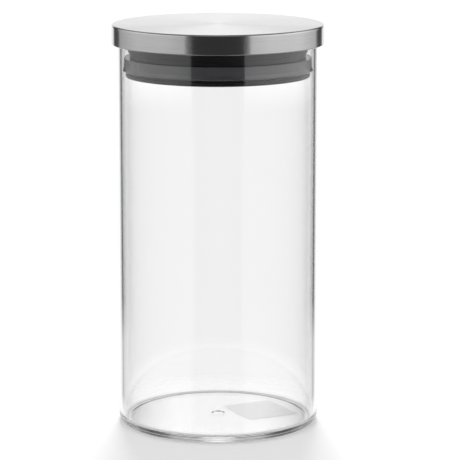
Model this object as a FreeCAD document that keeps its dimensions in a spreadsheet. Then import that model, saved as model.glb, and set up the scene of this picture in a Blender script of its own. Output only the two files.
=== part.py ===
import FreeCAD, Part
import Sketcher
import os

# Lidded glass storage jar: borosilicate jar, plug lid with a steel cap, seal ring and a blank label.
# Frame: millimetres, +Z up, origin at the centre of the jar's foot on the surface it stands on.
# Every piece is turned about the Z axis, except the rectangular label under the jar's base.

# Driving dimensions: alias, value in millimetres (angles in degrees), meaning.
DIMENSIONS = [
    ("jar_radius", 50.0, "outside radius of the glass tube"),
    ("wall_gauge", 2.4, "thickness of the glass wall"),
    ("jar_top", 196.7, "height of the fire-polished rim"),
    ("rim_round", 1.15, "rounding of each edge of the rim"),
    ("floor_top", 3.3, "height of the jar's inside floor"),
    ("heel_outside", 4.2, "rounding between the wall and the underside"),
    ("heel_inside", 2.0, "rounding between the wall and the inside floor"),
    ("recess_radius", 42.8, "radius of the hollow in the underside"),
    ("recess_depth", 0.4, "depth of the hollow in the underside"),
    ("recess_slope", 1.6, "width of the sloping edge of that hollow"),
    ("recess_round", 1.2, "rounding where that edge meets the underside of the base"),
    ("mark_radius", 3.4, "radius of the gathering mark in the middle of the floor"),
    ("mark_depth", 0.35, "depth of the gathering mark"),
    ("mark_slope", 0.7, "width of the sloping edge of the gathering mark"),
    ("mark_round", 0.3, "rounding of the gathering mark's edges"),
    ("label_wide", 27.0, "width of the label"),
    ("label_long", 30.0, "length of the label"),
    ("label_gauge", 0.1, "thickness of the label"),
    ("label_corner", 1.2, "corner rounding of the label"),
    ("label_gap", 0.03, "glue line between the label and the glass"),
    ("label_out", 22.9, "distance of the label's middle from the axis"),
    ("label_bearing", 20.2, "direction of the label's middle from the +X axis"),
    ("label_turn", 26.0, "turn of the label's width away from the +X axis"),
    ("lid_radius", 52.5, "outside radius of the steel cap"),
    ("lid_top", 200.6, "height of the closed lid's top face"),
    ("skirt_base", 190.8, "height of the steel cap's bottom edge"),
    ("cap_gauge", 0.6, "thickness of the steel sheet"),
    ("cap_edge", 1.1, "rounding of the steel cap's top edge"),
    ("hem_edge", 0.5, "rounding of the steel cap's bottom edge"),
    ("hem_inside", 50.7, "inside radius of the hem, clear of the glass"),
    ("cap_play", 0.05, "clearance of the plug inside the steel cap"),
    ("plate_base", 197.0, "underside of the plug's top plate, just above the rim"),
    ("neck_radius", 44.4, "radius of the plug's neck"),
    ("bore_radius", 40.6, "inside radius of the hollow plug"),
    ("neck_base", 187.2, "height where the neck steps in to the shoulder"),
    ("shoulder_radius", 43.5, "radius of the shoulder above the seal"),
    ("shoulder_base", 184.68, "underside of the shoulder"),
    ("groove_radius", 42.6, "radius of the seat that the seal ring turns on"),
    ("plug_base", 177.87, "bottom of the plug's wall, where the cover closes it"),
    ("plug_edge", 0.3, "small rounding of the plug's edges"),
    ("snap_height", 181.6, "middle height of the snap bead"),
    ("snap_half", 0.8, "half height of the snap bead"),
    ("snap_depth", 0.45, "how far the snap bead stands out"),
    ("snap_play", 0.08, "clearance of the cover's collar in the plug"),
    ("collar_gauge", 1.6, "thickness of the cover's collar"),
    ("collar_top", 184.0, "top of the cover's collar"),
    ("cover_radius", 45.6, "radius of the cover's rim, the lower lip of the lid"),
    ("cover_base", 175.05, "underside of the cover"),
    ("cover_rim_top", 177.0, "height of the rim's upper edge"),
    ("cover_round", 0.8, "rounding of the rim's lower edge"),
    ("cover_edge", 0.3, "rounding of the rim's upper edge"),
    ("land_radius", 44.6, "radius of the land above the rim, which the seal rests on"),
    ("dish_radius", 39.0, "radius of the shallow dish in the cover's underside"),
    ("dish_depth", 0.7, "depth of that dish"),
    ("gate_radius", 2.5, "radius of the round gate pocket in the dish"),
    ("gate_depth", 0.4, "depth of the gate pocket"),
    ("seal_play", 0.08, "clearance of the seal ring all round its seat"),
    ("seal_body", 46.4, "radius of the seal above its lip"),
    ("seal_lip", 47.0, "radius of the seal's flared lip, just inside the glass"),
    ("seal_foot", 46.1, "radius of the seal's underside"),
    ("lip_rise", 0.65, "height of the lip's edge above the seal's underside"),
    ("flare_rise", 2.45, "height where the flare begins above the seal's underside"),
    ("seal_edge", 0.3, "rounding of the seal's edges"),
]

# Allowed difference when an edge is looked up by its radius and height.
TOLERANCE = 1e-4

doc = FreeCAD.newDocument("lidded_jar")
sheet = doc.addObject("Spreadsheet::Sheet", "sizes")
for row, (alias, value, meaning) in enumerate(DIMENSIONS, start=1):
    sheet.set(f"A{row}", meaning)
    sheet.set(f"B{row}", str(value))
    sheet.setAlias(f"B{row}", alias)
doc.recompute()


def amount(expression):
    """The value of an expression in the sheet's aliases, each written as sizes.alias."""
    return float(sheet.evalExpression(expression))


def origin_plane(body, role):
    """The body's own origin plane that has this role."""
    return next(item for item in body.Origin.OriginFeatures if item.Role == role)


def new_body(label):
    body = doc.addObject("PartDesign::Body", label)
    body.Label = label
    return body


def new_sketch(body, name, role):
    sketch = body.newObject("Sketcher::SketchObject", name)
    sketch.AttachmentSupport = (origin_plane(body, role), [""])
    sketch.MapMode = "FlatFace"
    return sketch


def pin_corner(sketch, edge, across, upward):
    """Fix the start of an edge at a place given by two expressions; 0 puts it on the axis itself."""
    origin_point = (-1, 1)
    for kind, axis, expression in (("DistanceX", -2, across), ("DistanceY", -1, upward)):
        if expression == "0":
            sketch.addConstraint(Sketcher.Constraint("PointOnObject", edge, 1, axis))
            continue
        index = sketch.addConstraint(
            Sketcher.Constraint(kind, *origin_point, edge, 1, amount(expression))
        )
        sketch.setExpression(f"Constraints[{index}]", expression)


def outline(sketch, corners):
    """A closed outline of straight edges through corners given as pairs of expressions."""
    places = [FreeCAD.Vector(amount(across), amount(upward), 0) for across, upward in corners]
    count = len(places)
    for index, place in enumerate(places):
        sketch.addGeometry(Part.LineSegment(place, places[(index + 1) % count]), False)
    for index in range(count):
        sketch.addConstraint(Sketcher.Constraint("Coincident", index, 2, (index + 1) % count, 1))
    for index, (across, upward) in enumerate(corners):
        pin_corner(sketch, index, across, upward)


def turned(body, name, corners):
    """A solid turned from a closed half outline, whose corners are (radius, height) expressions."""
    sketch = new_sketch(body, name + "_outline", "XZ_Plane")
    outline(sketch, corners)
    solid = body.newObject("PartDesign::Revolution", name)
    solid.Profile = sketch
    solid.ReferenceAxis = (sketch, ["V_Axis"])
    solid.Angle = 360.0
    doc.recompute()
    return solid


def ring_edges(shape, rings):
    """Names of the circular edges about Z at the given (radius, height) expressions."""
    wanted = [(amount(radius), amount(height)) for radius, height in rings]
    names = []
    for number, edge in enumerate(shape.Edges, start=1):
        if not isinstance(edge.Curve, Part.Circle):
            continue
        for radius, height in wanted:
            same_radius = abs(edge.Curve.Radius - radius) < TOLERANCE
            same_height = abs(edge.Curve.Center.z - height) < TOLERANCE
            if same_radius and same_height:
                names.append(f"Edge{number}")
    if len(names) != len(wanted):
        raise RuntimeError(f"found {len(names)} of {len(wanted)} edges: {rings}")
    return names


def rounded(body, name, base, rings, radius):
    """Round the circular edges at the given rings by the radius that an expression gives."""
    fillet = body.newObject("PartDesign::Fillet", name)
    fillet.Base = (base, ring_edges(base.Shape, rings))
    fillet.setExpression("Radius", radius)
    doc.recompute()
    return fillet


def make_glass_jar():
    """Straight tube with a fire-polished rim, a flat base hollowed underneath and a gathering mark."""
    inside = "sizes.jar_radius - sizes.wall_gauge"
    mark_edge = "sizes.mark_radius"
    mark_flat = "sizes.mark_radius - sizes.mark_slope"
    mark_floor = "sizes.floor_top - sizes.mark_depth"
    foot_inside = "sizes.recess_radius + sizes.recess_slope"
    body = new_body("glass_jar")
    shell = turned(body, "jar_shell", [
        ("0", "sizes.recess_depth"),
        ("sizes.recess_radius", "sizes.recess_depth"),
        (foot_inside, "0"),
        ("sizes.jar_radius", "0"),
        ("sizes.jar_radius", "sizes.jar_top"),
        (inside, "sizes.jar_top"),
        (inside, "sizes.floor_top"),
        (mark_edge, "sizes.floor_top"),
        (mark_flat, mark_floor),
        ("0", mark_floor),
    ])
    rim = rounded(body, "jar_rim", shell, [
        ("sizes.jar_radius", "sizes.jar_top"),
        (inside, "sizes.jar_top"),
    ], "sizes.rim_round")
    heel = rounded(body, "jar_heel", rim, [("sizes.jar_radius", "0")], "sizes.heel_outside")
    corner = rounded(body, "jar_inner_heel", heel, [(inside, "sizes.floor_top")], "sizes.heel_inside")
    foot = rounded(body, "jar_foot", corner, [(foot_inside, "0")], "sizes.recess_depth")
    hollow = rounded(body, "jar_hollow", foot, [
        ("sizes.recess_radius", "sizes.recess_depth"),
    ], "sizes.recess_round")
    rounded(body, "jar_mark", hollow, [
        (mark_edge, "sizes.floor_top"),
        (mark_flat, mark_floor),
    ], "sizes.mark_round")
    return body


def make_base_label():
    """Thin blank rectangle stuck in the hollow of the base, clear of the surface below."""
    body = new_body("base_label")
    sketch = new_sketch(body, "label_outline", "XY_Plane")
    outline(sketch, [
        ("0", "0"),
        ("sizes.label_wide", "0"),
        ("sizes.label_wide", "sizes.label_long"),
        ("0", "sizes.label_long"),
    ])
    sheet_pad = body.newObject("PartDesign::Pad", "label_sheet")
    sheet_pad.Profile = sketch
    sheet_pad.setExpression("Length", "sizes.label_gauge")
    doc.recompute()
    upright = [
        f"Edge{number}"
        for number, edge in enumerate(sheet_pad.Shape.Edges, start=1)
        if abs(edge.tangentAt(edge.FirstParameter).z) > 1 - TOLERANCE
    ]
    corners = body.newObject("PartDesign::Fillet", "label_corners")
    corners.Base = (sheet_pad, upright)
    corners.setExpression("Radius", "sizes.label_corner")
    half = FreeCAD.Vector(amount("sizes.label_wide") / 2, amount("sizes.label_long") / 2, 0)
    turn = FreeCAD.Rotation(FreeCAD.Vector(0, 0, 1), amount("sizes.label_turn"))
    bearing = FreeCAD.Rotation(FreeCAD.Vector(0, 0, 1), amount("sizes.label_bearing"))
    middle = bearing.multVec(FreeCAD.Vector(amount("sizes.label_out"), 0, 0))
    height = amount("sizes.recess_depth - sizes.label_gap - sizes.label_gauge")
    middle.z = height
    body.Placement = FreeCAD.Placement(middle - turn.multVec(half), turn)
    doc.recompute()
    return body


def make_lid_cap():
    """Pressed steel cap: flat disc, straight skirt and a hem turned in under the plug's rim."""
    skin = "sizes.lid_radius - sizes.cap_gauge"
    hem_top = "sizes.skirt_base + sizes.cap_gauge"
    body = new_body("lid_cap")
    shell = turned(body, "cap_shell", [
        ("0", "sizes.lid_top - sizes.cap_gauge"),
        (skin, "sizes.lid_top - sizes.cap_gauge"),
        (skin, hem_top),
        ("sizes.hem_inside", hem_top),
        ("sizes.hem_inside", "sizes.skirt_base"),
        ("sizes.lid_radius", "sizes.skirt_base"),
        ("sizes.lid_radius", "sizes.lid_top"),
        ("0", "sizes.lid_top"),
    ])
    edge = rounded(body, "cap_edge_outside", shell, [
        ("sizes.lid_radius", "sizes.lid_top"),
    ], "sizes.cap_edge")
    inner = rounded(body, "cap_edge_inside", edge, [
        (skin, "sizes.lid_top - sizes.cap_gauge"),
    ], "sizes.cap_edge - sizes.cap_gauge")
    rounded(body, "cap_hem", inner, [("sizes.lid_radius", "sizes.skirt_base")], "sizes.hem_edge")
    return body


def make_plug_body():
    """Hollow black moulding: top plate and rim inside the cap, neck, shoulder and seal seat."""
    top = "sizes.lid_top - sizes.cap_gauge - sizes.cap_play"
    rim_outside = "sizes.lid_radius - sizes.cap_gauge - sizes.cap_play"
    rim_base = "sizes.skirt_base + sizes.cap_gauge + sizes.cap_play"
    snap_root = "sizes.bore_radius + sizes.snap_depth"
    snap_low = "sizes.snap_height - sizes.snap_half"
    snap_high = "sizes.snap_height + sizes.snap_half"
    body = new_body("plug_body")
    shell = turned(body, "plug_shell", [
        ("0", top),
        (rim_outside, top),
        (rim_outside, rim_base),
        ("sizes.hem_inside", rim_base),
        ("sizes.hem_inside", "sizes.plate_base"),
        ("sizes.neck_radius", "sizes.plate_base"),
        ("sizes.neck_radius", "sizes.neck_base"),
        ("sizes.shoulder_radius", "sizes.neck_base"),
        ("sizes.shoulder_radius", "sizes.shoulder_base"),
        ("sizes.groove_radius", "sizes.shoulder_base"),
        ("sizes.groove_radius", "sizes.plug_base"),
        ("sizes.bore_radius", "sizes.plug_base"),
        ("sizes.bore_radius", snap_low),
        (snap_root, "sizes.snap_height"),
        ("sizes.bore_radius", snap_high),
        ("sizes.bore_radius", "sizes.plate_base"),
        ("0", "sizes.plate_base"),
    ])
    corner = rounded(body, "plug_top_edge", shell, [(rim_outside, top)], "sizes.cap_edge")
    rounded(body, "plug_shoulder_edges", corner, [
        ("sizes.neck_radius", "sizes.neck_base"),
        ("sizes.shoulder_radius", "sizes.shoulder_base"),
    ], "sizes.plug_edge")
    return body


def make_plug_cover():
    """Disc that closes the plug from below, with a rim, a land under the seal and a snap-in collar."""
    disc_top = "sizes.plug_base - sizes.seal_play"
    collar_outside = "sizes.bore_radius - sizes.snap_play"
    collar_inside = "sizes.bore_radius - sizes.snap_play - sizes.collar_gauge"
    bead = "sizes.bore_radius - sizes.snap_play + sizes.snap_depth"
    snap_low = "sizes.snap_height - sizes.snap_half"
    snap_high = "sizes.snap_height + sizes.snap_half"
    dish_floor = "sizes.cover_base + sizes.dish_depth"
    gate_floor = "sizes.cover_base + sizes.dish_depth + sizes.gate_depth"
    body = new_body("plug_cover")
    shell = turned(body, "cover_shell", [
        ("0", gate_floor),
        ("sizes.gate_radius", gate_floor),
        ("sizes.gate_radius", dish_floor),
        ("sizes.dish_radius", dish_floor),
        ("sizes.dish_radius + sizes.dish_depth", "sizes.cover_base"),
        ("sizes.cover_radius", "sizes.cover_base"),
        ("sizes.cover_radius", "sizes.cover_rim_top"),
        ("sizes.land_radius", "sizes.cover_rim_top"),
        ("sizes.land_radius", disc_top),
        (collar_outside, disc_top),
        (collar_outside, snap_low),
        (bead, "sizes.snap_height"),
        (collar_outside, snap_high),
        (collar_outside, "sizes.collar_top"),
        (collar_inside, "sizes.collar_top"),
        (collar_inside, disc_top),
        ("0", disc_top),
    ])
    lower = rounded(body, "cover_lower_edge", shell, [
        ("sizes.cover_radius", "sizes.cover_base"),
    ], "sizes.cover_round")
    rounded(body, "cover_upper_edge", lower, [
        ("sizes.cover_radius", "sizes.cover_rim_top"),
    ], "sizes.cover_edge")
    return body


def make_seal_ring():
    """Silicone ring in the plug's seat, with a flared lip at its bottom that wipes the glass."""
    low = "sizes.plug_base + sizes.seal_play"
    high = "sizes.shoulder_base - sizes.seal_play"
    inner = "sizes.groove_radius + sizes.seal_play"
    lip_height = "sizes.plug_base + sizes.seal_play + sizes.lip_rise"
    flare_top = "sizes.plug_base + sizes.seal_play + sizes.flare_rise"
    body = new_body("seal_ring")
    shell = turned(body, "seal_profile", [
        (inner, low),
        ("sizes.seal_foot", low),
        ("sizes.seal_lip", lip_height),
        ("sizes.seal_body", flare_top),
        ("sizes.seal_body", high),
        (inner, high),
    ])
    rounded(body, "seal_edges", shell, [
        ("sizes.seal_foot", low),
        ("sizes.seal_lip", lip_height),
        ("sizes.seal_body", flare_top),
        ("sizes.seal_body", high),
    ], "sizes.seal_edge")
    return body


def check_and_write(bodies):
    """Stop on any failed object or bad shape, then write one STEP file per piece."""
    doc.recompute()
    for item in doc.Objects:
        if "Invalid" in item.State or "Error" in item.State:
            raise RuntimeError(f"{item.Name} failed: {item.State}")
    for body in bodies:
        shape = body.Shape
        if shape.isNull() or not shape.isValid() or len(shape.Solids) != 1:
            raise RuntimeError(f"{body.Label} has no single valid solid")
    os.makedirs("parts", exist_ok=True)
    for body in bodies:
        body.Shape.exportStep(f"parts/{body.Label}.step")
        box = body.Shape.BoundBox
        print(f"{body.Label}: {body.Shape.Volume / 1000:.2f} cm3, z {box.ZMin:.2f} to {box.ZMax:.2f}")


pieces = [
    make_glass_jar(),
    make_base_label(),
    make_lid_cap(),
    make_plug_body(),
    make_plug_cover(),
    make_seal_ring(),
]
check_and_write(pieces)
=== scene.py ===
import math

import bpy
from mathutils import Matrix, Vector


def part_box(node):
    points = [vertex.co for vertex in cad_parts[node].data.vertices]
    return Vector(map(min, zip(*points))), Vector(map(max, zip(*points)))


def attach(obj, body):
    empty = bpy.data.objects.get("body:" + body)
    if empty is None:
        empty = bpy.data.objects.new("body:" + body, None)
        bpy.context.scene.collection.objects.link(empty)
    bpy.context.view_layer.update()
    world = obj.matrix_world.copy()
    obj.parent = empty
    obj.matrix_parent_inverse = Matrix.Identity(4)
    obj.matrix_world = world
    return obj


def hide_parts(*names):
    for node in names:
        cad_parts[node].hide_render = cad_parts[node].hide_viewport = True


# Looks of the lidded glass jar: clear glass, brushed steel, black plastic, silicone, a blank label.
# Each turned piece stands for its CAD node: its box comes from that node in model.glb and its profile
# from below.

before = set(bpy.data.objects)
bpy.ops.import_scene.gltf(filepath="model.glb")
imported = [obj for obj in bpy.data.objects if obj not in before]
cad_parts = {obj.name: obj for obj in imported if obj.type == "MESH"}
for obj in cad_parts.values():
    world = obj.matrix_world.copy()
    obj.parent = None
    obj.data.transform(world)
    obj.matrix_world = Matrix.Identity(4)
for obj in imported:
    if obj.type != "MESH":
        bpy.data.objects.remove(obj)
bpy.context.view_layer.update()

MM = 0.001
SEGMENTS = 192
ARC_STEPS = 12

# Sizes that the CAD nodes' boxes don't give, in metres.
WALL = 2.4 * MM
FLOOR_TOP = 3.3 * MM
RIM_ROUND = 1.15 * MM
HEEL_OUTSIDE = 4.2 * MM
HEEL_INSIDE = 2.0 * MM
RECESS_RADIUS = 42.8 * MM
RECESS_DEPTH = 0.4 * MM
RECESS_SLOPE = 1.6 * MM
RECESS_ROUND = 3.0 * MM
MARK_RADIUS = 3.4 * MM
MARK_DEPTH = 0.35 * MM
MARK_SLOPE = 0.7 * MM
MARK_ROUND = 0.3 * MM
CAP_GAUGE = 0.6 * MM
CAP_EDGE = 1.1 * MM
HEM_EDGE = 0.28 * MM
HEM_ROUND = 0.5 * MM
HEM_INSIDE = 50.7 * MM
CAP_PLAY = 0.05 * MM
PLATE_BASE = 197.0 * MM
NECK_RADIUS = 44.4 * MM
NECK_BASE = 187.2 * MM
SHOULDER_RADIUS = 43.5 * MM
SHOULDER_BASE = 184.68 * MM
SEAT_RADIUS = 42.6 * MM
BORE_RADIUS = 40.6 * MM
PLATE_ROUND = 0.5 * MM
PLUG_EDGE = 0.3 * MM
FIT_PLAY = 0.08 * MM
SEAL_BODY = 46.4 * MM
SEAL_LIP = 47.0 * MM
SEAL_FOOT = 46.1 * MM
LIP_RISE = 0.65 * MM
FLARE_RISE = 2.45 * MM
SEAL_EDGE = 0.3 * MM
COVER_ROUND = 0.8 * MM
COVER_EDGE = 0.3 * MM
COVER_RIM_TOP = 177.0 * MM
LAND_RADIUS = 44.6 * MM
DISH_RADIUS = 39.0 * MM
DISH_DEPTH = 0.7 * MM
DISH_ROUND = 0.2 * MM
GATE_RADIUS = 2.5 * MM
GATE_DEPTH = 0.4 * MM
COLLAR_GAUGE = 1.6 * MM
SHARP = 0.12 * MM


# ---------------------------------------------------------------- turned pieces

def outline_points(corners, closed):
    """Points and outward normals, as (radius, height, normal radius, normal height), along an
    outline of straight runs whose corners (radius, height, rounding) are arcs tangent to both runs."""
    count = len(corners)
    places = [Vector((radius, height)) for radius, height, _ in corners]
    area = sum(places[i - 1].cross(places[i]) for i in range(count))
    side = 1 if area > 0 else -1
    points = []
    for index, (here, corner) in enumerate(zip(places, corners)):
        ends = not closed and index in (0, count - 1)
        if ends:
            normal = Vector((0, 1 if (side > 0) == (index > 0) else -1))
            points.append((here, normal))
            continue
        back = (places[index - 1] - here).normalized()
        on = (places[(index + 1) % count] - here).normalized()
        half = back.angle(on) / 2
        rounding = corner[2]
        centre = here + (back + on).normalized() * rounding / math.sin(half)
        start = here + back * rounding / math.tan(half) - centre
        end = here + on * rounding / math.tan(half) - centre
        convex = 1 if (-back).cross(on) * side > 0 else -1
        for step in range(ARC_STEPS + 1):
            spoke = start.slerp(end, step / ARC_STEPS).normalized()
            points.append((centre + spoke * rounding, spoke * convex))
    if side < 0:
        points.reverse()
    return [(p.x, p.y, n.x, n.y) for p, n in points]


def turned(name, corners, closed=False):
    """A smooth solid turned about the Z axis. An open outline starts and ends on the axis."""
    points = outline_points(corners, closed)
    vertices, normals, rings = [], [], []
    for radius, height, out, up in points:
        around = 1 if radius < 1e-7 else SEGMENTS
        rings.append(range(len(vertices), len(vertices) + around))
        for step in range(around):
            angle = 2 * math.pi * step / SEGMENTS
            spoke = Vector((math.cos(angle), math.sin(angle), 0))
            vertices.append(spoke * radius + Vector((0, 0, height)))
            normals.append((spoke * out + Vector((0, 0, up))).normalized())
    faces = []
    pairs = list(zip(rings, rings[1:] + rings[:1])) if closed else list(zip(rings, rings[1:]))
    for low, high in pairs:
        for step in range(SEGMENTS):
            after = (step + 1) % SEGMENTS
            corners_here = [
                low[step % len(low)], low[after % len(low)],
                high[after % len(high)], high[step % len(high)],
            ]
            faces.append(list(dict.fromkeys(corners_here)))
    mesh = bpy.data.meshes.new(name)
    mesh.from_pydata(vertices, [], faces)
    mesh.validate()
    mesh.shade_smooth()
    mesh.normals_split_custom_set_from_vertices(normals)
    piece = bpy.data.objects.new(name, mesh)
    bpy.context.scene.collection.objects.link(piece)
    return piece


def stand_for(piece, node, body, material):
    """The piece rides on the body in place of the CAD node, with this material."""
    piece.data.materials.append(material)
    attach(piece, body)
    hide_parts(node)


# ---------------------------------------------------------------- material helpers

def new_material(name):
    material = bpy.data.materials.new(name)
    material.use_nodes = True
    tree = material.node_tree
    return material, tree, tree.nodes["Principled BSDF"]


def add_node(tree, kind, settings=None, **inputs):
    """A node with attributes from settings. Each input is a number, colour or socket to link, by
    the socket's name, or by its place as i0, i1 and so on."""
    node = tree.nodes.new(kind)
    for key, value in (settings or {}).items():
        setattr(node, key, value)
    for key, value in inputs.items():
        by_place = key[0] == "i" and key[1:].isdigit()
        socket = node.inputs[int(key[1:]) if by_place else key]
        if isinstance(value, bpy.types.NodeSocket):
            tree.links.new(value, socket)
        else:
            socket.default_value = value
    return node


def maths(tree, operation, first, second=None):
    """The result of a Math node on one or two numbers or sockets."""
    node = tree.nodes.new("ShaderNodeMath")
    node.operation = operation
    for socket, value in zip(node.inputs, (first, second)):
        if isinstance(value, bpy.types.NodeSocket):
            tree.links.new(value, socket)
        elif value is not None:
            socket.default_value = value
    return node.outputs[0]


def polar(tree):
    """Sockets of the radius, height, and cosine and sine of the bearing of a point of the piece."""
    place = add_node(tree, "ShaderNodeTexCoord").outputs["Object"]
    split = add_node(tree, "ShaderNodeSeparateXYZ", Vector=place)
    x, y, z = split.outputs
    square = maths(tree, "ADD", maths(tree, "MULTIPLY", x, x), maths(tree, "MULTIPLY", y, y))
    radius = maths(tree, "SQRT", square)
    return radius, z, maths(tree, "DIVIDE", x, radius), maths(tree, "DIVIDE", y, radius)


def ramp(tree, value, low, high, low_to=0.0, high_to=1.0):
    """A value that runs from low_to to high_to as the first value runs from low to high."""
    node = add_node(tree, "ShaderNodeMapRange", i0=value, i1=low, i2=high, i3=low_to, i4=high_to)
    return node.outputs[0]


# ---------------------------------------------------------------- materials

def clear_glass():
    """Clear borosilicate glass, with the faint waviness of drawn tube."""
    material, tree, shader = new_material("clear_glass")
    shader.inputs["Base Color"].default_value = (1, 1, 1, 1)
    shader.inputs["Roughness"].default_value = 0.0
    shader.inputs["Transmission Weight"].default_value = 1.0
    shader.inputs["IOR"].default_value = 1.474
    place = add_node(tree, "ShaderNodeTexCoord").outputs["Object"]
    drawn = add_node(tree, "ShaderNodeVectorMath", {"operation": "MULTIPLY"},
                     i0=place, i1=(70.0, 70.0, 9.0))
    waves = add_node(tree, "ShaderNodeTexNoise", Vector=drawn.outputs[0], Scale=1.0, Detail=1.0)
    bump = add_node(tree, "ShaderNodeBump",
                    Strength=0.08, Distance=0.00005, Height=waves.outputs[0])
    tree.links.new(bump.outputs[0], shader.inputs["Normal"])
    return material


def brushed_steel():
    """Stainless steel brushed round the axis: fine circles on the top, level lines on the skirt."""
    material, tree, shader = new_material("brushed_steel")
    radius, height, cosine, sine = polar(tree)
    around, across = 1.6, 5200.0
    place = add_node(tree, "ShaderNodeCombineXYZ",
                     i0=maths(tree, "MULTIPLY", cosine, around),
                     i1=maths(tree, "MULTIPLY", sine, around),
                     i2=maths(tree, "MULTIPLY", height, across))
    lines = add_node(tree, "ShaderNodeTexNoise", {"noise_dimensions": "4D"},
                     Vector=place.outputs[0], W=maths(tree, "MULTIPLY", radius, across),
                     Scale=1.0, Detail=3.0, Roughness=0.6)
    shade = add_node(tree, "ShaderNodeValToRGB", i0=lines.outputs[0])
    shade.color_ramp.elements[0].position = 0.3
    shade.color_ramp.elements[0].color = (0.66, 0.66, 0.66, 1)
    shade.color_ramp.elements[1].position = 0.7
    shade.color_ramp.elements[1].color = (0.80, 0.80, 0.80, 1)
    tree.links.new(shade.outputs[0], shader.inputs["Base Color"])
    tree.links.new(ramp(tree, lines.outputs[0], 0.3, 0.7, 0.17, 0.24), shader.inputs["Roughness"])
    bump = add_node(tree, "ShaderNodeBump", Strength=0.12, Distance=0.00005, Height=lines.outputs[0])
    tree.links.new(bump.outputs[0], shader.inputs["Normal"])
    shader.inputs["Metallic"].default_value = 1.0
    shader.inputs["Anisotropic"].default_value = 0.92
    shader.inputs["Anisotropic Rotation"].default_value = 0.25
    tangent = add_node(tree, "ShaderNodeTangent", {"direction_type": "RADIAL", "axis": "Z"})
    tree.links.new(tangent.outputs[0], shader.inputs["Tangent"])
    return material


def moulded(name, colour, spread, roughness, specular, grain, depth):
    """Moulded plastic or rubber: a fine grain in its bump and roughness, a broad one in its colour."""
    material, tree, shader = new_material(name)
    place = add_node(tree, "ShaderNodeTexCoord").outputs["Object"]
    fine = add_node(tree, "ShaderNodeTexNoise", Vector=place, Scale=grain, Detail=4.0, Roughness=0.6)
    broad = add_node(tree, "ShaderNodeTexNoise", Vector=place, Scale=45.0, Detail=2.0)
    dark, light = ([channel * (1 + part) for channel in colour] + [1] for part in (-spread, spread))
    tone = add_node(tree, "ShaderNodeMix", {"data_type": "RGBA"},
                    i0=broad.outputs[0], i6=dark, i7=light)
    tree.links.new(tone.outputs[2], shader.inputs["Base Color"])
    shader.inputs["Specular IOR Level"].default_value = specular
    rough = ramp(tree, fine.outputs[0], 0.3, 0.7, roughness - 0.05, roughness + 0.05)
    tree.links.new(rough, shader.inputs["Roughness"])
    bump = add_node(tree, "ShaderNodeBump", Strength=0.25, Distance=depth, Height=fine.outputs[0])
    tree.links.new(bump.outputs[0], shader.inputs["Normal"])
    return material


# ---------------------------------------------------------------- pieces

def make_jar(material):
    low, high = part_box("glass_jar")
    radius, top = high.x, high.z
    foot = RECESS_RADIUS + RECESS_SLOPE
    piece = turned("jar_glass", [
        (0, low.z + RECESS_DEPTH, 0),
        (RECESS_RADIUS, low.z + RECESS_DEPTH, RECESS_ROUND),
        (foot, low.z, RECESS_DEPTH),
        (radius, low.z, HEEL_OUTSIDE),
        (radius, top, RIM_ROUND),
        (radius - WALL, top, RIM_ROUND),
        (radius - WALL, FLOOR_TOP, HEEL_INSIDE),
        (MARK_RADIUS, FLOOR_TOP, MARK_ROUND),
        (MARK_RADIUS - MARK_SLOPE, FLOOR_TOP - MARK_DEPTH, MARK_ROUND),
        (0, FLOOR_TOP - MARK_DEPTH, 0),
    ])
    stand_for(piece, "glass_jar", "jar", material)


def make_cap(material):
    low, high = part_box("lid_cap")
    radius, top, base = high.x, high.z, low.z
    piece = turned("steel_cap", [
        (0, top - CAP_GAUGE, 0),
        (radius - CAP_GAUGE, top - CAP_GAUGE, CAP_EDGE - CAP_GAUGE),
        (radius - CAP_GAUGE, base + CAP_GAUGE, SHARP),
        (HEM_INSIDE, base + CAP_GAUGE, HEM_EDGE),
        (HEM_INSIDE, base, HEM_EDGE),
        (radius, base, HEM_ROUND),
        (radius, top, CAP_EDGE),
        (0, top, 0),
    ])
    stand_for(piece, "lid_cap", "lid", material)


def make_plug(material):
    low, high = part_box("plug_body")
    outside, top = high.x, high.z
    rim_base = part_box("lid_cap")[0].z + CAP_GAUGE + CAP_PLAY
    piece = turned("black_plug", [
        (0, top, 0),
        (outside, top, CAP_EDGE),
        (outside, rim_base, SHARP),
        (HEM_INSIDE, rim_base, SHARP),
        (HEM_INSIDE, PLATE_BASE, PLATE_ROUND),
        (NECK_RADIUS, PLATE_BASE, PLATE_ROUND),
        (NECK_RADIUS, NECK_BASE, PLUG_EDGE),
        (SHOULDER_RADIUS, NECK_BASE, SHARP),
        (SHOULDER_RADIUS, SHOULDER_BASE, PLUG_EDGE),
        (SEAT_RADIUS, SHOULDER_BASE, SHARP),
        (SEAT_RADIUS, low.z, SHARP),
        (BORE_RADIUS, low.z, SHARP),
        (BORE_RADIUS, PLATE_BASE, PLATE_ROUND),
        (0, PLATE_BASE, 0),
    ])
    stand_for(piece, "plug_body", "lid", material)


def make_cover(material):
    low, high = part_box("plug_cover")
    radius, base, collar_top = high.x, low.z, high.z
    disc_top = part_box("plug_body")[0].z - FIT_PLAY
    collar = BORE_RADIUS - FIT_PLAY
    piece = turned("black_cover", [
        (0, base + DISH_DEPTH + GATE_DEPTH, 0),
        (GATE_RADIUS, base + DISH_DEPTH + GATE_DEPTH, SHARP),
        (GATE_RADIUS, base + DISH_DEPTH, SHARP),
        (DISH_RADIUS, base + DISH_DEPTH, DISH_ROUND),
        (DISH_RADIUS + DISH_DEPTH, base, DISH_ROUND),
        (radius, base, COVER_ROUND),
        (radius, COVER_RIM_TOP, COVER_EDGE),
        (LAND_RADIUS, COVER_RIM_TOP, SHARP),
        (LAND_RADIUS, disc_top, SHARP),
        (collar, disc_top, SHARP),
        (collar, collar_top, SHARP),
        (collar - COLLAR_GAUGE, collar_top, SHARP),
        (collar - COLLAR_GAUGE, disc_top, SHARP),
        (0, disc_top, 0),
    ])
    stand_for(piece, "plug_cover", "lid", material)


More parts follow.
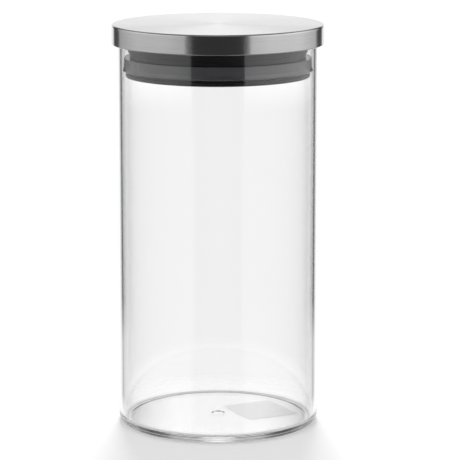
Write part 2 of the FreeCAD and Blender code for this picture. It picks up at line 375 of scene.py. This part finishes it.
def make_seal(material):
    low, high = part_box("seal_ring")
    inner = SEAT_RADIUS + FIT_PLAY
    piece = turned("silicone_ring", [
        (inner, low.z, SHARP),
        (SEAL_FOOT, low.z, SEAL_EDGE),
        (SEAL_LIP, low.z + LIP_RISE, SEAL_EDGE),
        (SEAL_BODY, low.z + FLARE_RISE, SEAL_EDGE),
        (SEAL_BODY, high.z, SEAL_EDGE),
        (inner, high.z, SHARP),
    ], closed=True)
    stand_for(piece, "seal_ring", "seal", material)


# ---------------------------------------------------------------- studio

FLOOR_REACH = 0.35
LIT_REACH = 0.09
FADE_START = 0.58

# The studio that reflections see. Bearings are degrees round from the front, rises degrees above
# level, and the rest are brightnesses.
FRONT_GAP = 28.5
PLUG_GAP = 30.6
CAP_GAP = 34.6
CARD_END = 133.0
BACK_START = 153.0
HIGH_BACK_SHIFT = 6.0
OVER_START = 175.0
LOW_EDGE = -12.75
CARD_FOOT = -7.7
CARD_TOP = 38.0
LEFT_CARD = 0.85
RIGHT_CARD = 1.08
CARD_BESIDE_FRONT = 0.85
CARD_FAR_END = 0.5
CARD_BELOW = 0.27
SIDE_BELOW = 0.45
FRONT_DARK = 0.035
GAP_DARK = 0.05
CEILING = 0.2
BACK_OVER_LEVEL = 0.86
BESIDE_BACK = 0.4
OVER_BACK = 1.7

# Brightness behind the jar as the camera sees it, and of the light between dull surfaces.
BACKDROP = 1.03
FILL = 0.875
BACK_POWER = 80.0
BACK_PLACE = (0, 2.7, 3.3)
CAMERA_PLACE = (0, -1.2506, 0.3334)
CAMERA_DIP = 10.70
CAMERA_TURN = 0.275
LENS = 199.2


def stepped(tree, value, edges):
    """The first level, changed at each edge (where, half width, level after) the value crosses."""
    level = edges[0]
    for where, soft, after in edges[1:]:
        share = ramp(tree, value, where - soft, where + soft)
        mix = add_node(tree, "ShaderNodeMapRange", i0=share, i1=0.0, i2=1.0, i3=level, i4=after)
        level = mix.outputs[0]
    return level


def make_floor():
    """A white floor that fades out, and that the glass and the steel reflect only close to the jar."""
    bpy.ops.mesh.primitive_circle_add(
        vertices=96, radius=FLOOR_REACH, fill_type="NGON", location=(0, 0, 0))
    floor = bpy.context.object
    floor.name = "studio_floor"
    material, tree, shader = new_material("studio_white")
    shader.inputs["Base Color"].default_value = (0.9, 0.9, 0.9, 1)
    shader.inputs["Roughness"].default_value = 0.9
    shader.inputs["Specular IOR Level"].default_value = 0.0
    radius = polar(tree)[0]
    direct = add_node(tree, "ShaderNodeLightPath").outputs["Is Camera Ray"]
    reach = ramp(tree, direct, 0.0, 1.0, LIT_REACH, FLOOR_REACH)
    share = maths(tree, "DIVIDE", radius, reach)
    tree.links.new(ramp(tree, share, FADE_START, 1.0, 1.0, 0.0), shader.inputs["Alpha"])
    floor.data.materials.append(material)


def studio_level(tree):
    """Brightness of the studio by direction: white behind, a card on each side, a dark gap at
    each end of a card, a dim ceiling, and a brighter patch high behind the jar."""
    direction = add_node(tree, "ShaderNodeTexCoord").outputs["Generated"]
    x, y, z = add_node(tree, "ShaderNodeSeparateXYZ", Vector=direction).outputs
    angle = maths(tree, "ARCTAN2", x, maths(tree, "MULTIPLY", y, -1.0))
    bearing = maths(tree, "DEGREES", angle)
    turn = maths(tree, "ABSOLUTE", bearing)
    rise = maths(tree, "DEGREES", maths(tree, "ARCSINE", z))

    side = ramp(tree, bearing, -30.0, 30.0, LEFT_CARD, RIGHT_CARD)
    shade = stepped(tree, turn, [CARD_BESIDE_FRONT, (50.0, 8.0, 1.0), (118.0, 20.0, CARD_FAR_END)])
    card = stepped(tree, rise, [CARD_BELOW, (CARD_FOOT, 0.3, maths(tree, "MULTIPLY", side, shade))])
    gap = stepped(tree, rise, [FRONT_GAP, (-8.3, 0.7, PLUG_GAP), (-6.5, 0.3, CAP_GAP)])
    front = stepped(tree, maths(tree, "SUBTRACT", turn, gap), [FRONT_DARK, (0.0, 0.5, card)])

    shift = ramp(tree, rise, -3.0, 3.0, 0.0, HIGH_BACK_SHIFT)
    past_side = maths(tree, "SUBTRACT", turn, shift)
    middle = stepped(tree, past_side, [front, (CARD_END, 2.0, GAP_DARK), (BACK_START, 3.0, 1.0)])
    lower = stepped(tree, turn, [
        FRONT_DARK,
        (FRONT_GAP, 0.5, CARD_BELOW),
        (CARD_END, 2.0, SIDE_BELOW),
        (BACK_START, 4.0, 1.0),
    ])
    level = stepped(tree, rise, [lower, (LOW_EDGE, 0.5, middle), (CARD_TOP, 8.0, CEILING)])

    over = stepped(tree, turn, [BESIDE_BACK, (OVER_START, 3.0, OVER_BACK)])
    upper = stepped(tree, rise, [1.0, (2.0, 2.0, BACK_OVER_LEVEL), (12.0, 4.0, over)])
    return stepped(tree, turn, [level, (BACK_START, 4.0, maths(tree, "MULTIPLY", level, upper))])


def make_studio():
    """Soft light all round: reflections see the studio, the camera and whatever it sees straight
    through the glass see plain white, and dull surfaces light each other evenly."""
    world = bpy.data.worlds.new("studio")
    bpy.context.scene.world = world
    world.use_nodes = True
    tree = world.node_tree
    path = add_node(tree, "ShaderNodeLightPath")
    crossed = maths(tree, "GREATER_THAN", path.outputs["Transmission Depth"], 1.5)
    mirrored = maths(tree, "GREATER_THAN", path.outputs["Glossy Depth"], 0.5)
    through = maths(tree, "SUBTRACT", crossed, mirrored)
    backdrop = maths(tree, "MULTIPLY", path.outputs["Is Camera Ray"], BACKDROP)
    plain = maths(tree, "MAXIMUM", backdrop, through)
    seen = maths(tree, "MAXIMUM", plain, studio_level(tree))
    lights = maths(tree, "GREATER_THAN", path.outputs["Diffuse Depth"], 0.5)
    strength = add_node(tree, "ShaderNodeMapRange", i0=lights, i1=0.0, i2=1.0, i3=seen, i4=FILL)
    background = tree.nodes["Background"]
    background.inputs["Color"].default_value = (1, 1, 1, 1)
    tree.links.new(strength.outputs[0], background.inputs["Strength"])


def make_back_light():
    """A soft light high behind the jar, whose shadow falls towards the front."""
    data = bpy.data.lights.new("back_light", "AREA")
    data.shape = "SQUARE"
    data.size = 1.0
    data.energy = BACK_POWER
    light = bpy.data.objects.new("back_light", data)
    light.location = BACK_PLACE
    light.rotation_euler = Vector(light.location).to_track_quat("Z", "Y").to_euler()
    light.visible_camera = False
    light.visible_glossy = False
    light.visible_transmission = False
    bpy.context.scene.collection.objects.link(light)


def make_camera():
    """Looks slightly down at the jar from the front, with the jar a little left of the middle."""
    data = bpy.data.cameras.new("camera")
    data.sensor_width = 36.0
    data.lens = LENS
    camera = bpy.data.objects.new("camera", data)
    camera.location = CAMERA_PLACE
    camera.rotation_euler = (math.radians(90 - CAMERA_DIP), 0, math.radians(-CAMERA_TURN))
    bpy.context.scene.collection.objects.link(camera)
    bpy.context.scene.camera = camera


# ---------------------------------------------------------------- scene

steel = brushed_steel()
black = moulded("black_plastic", (0.006, 0.006, 0.0065), spread=0.15,
                roughness=0.38, specular=0.45, grain=2600.0, depth=0.00001)
silicone = moulded("grey_silicone", (0.05, 0.05, 0.054), spread=0.1,
                   roughness=0.17, specular=1.0, grain=1800.0, depth=0.00002)
# The label film is a mid grey, darker than its white paper: the shade on its glued side under the jar
# is painted into its colour.
film = moulded("label_film", (0.56, 0.56, 0.56), spread=0.03,
               roughness=0.7, specular=0.5, grain=900.0, depth=0.00002)

make_jar(clear_glass())
make_cap(steel)
make_plug(black)
make_cover(black)
make_seal(silicone)
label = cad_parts["base_label"]
label.data.materials.clear()
label.data.materials.append(film)

make_floor()
make_studio()
make_back_light()
make_camera()

bpy.context.scene.view_settings.view_transform = "Standard"
# Light goes on bouncing inside the thick glass of the base.
cycles = bpy.context.scene.cycles
cycles.blur_glossy = 0.0
cycles.max_bounces = cycles.transmission_bounces = cycles.glossy_bounces = 64
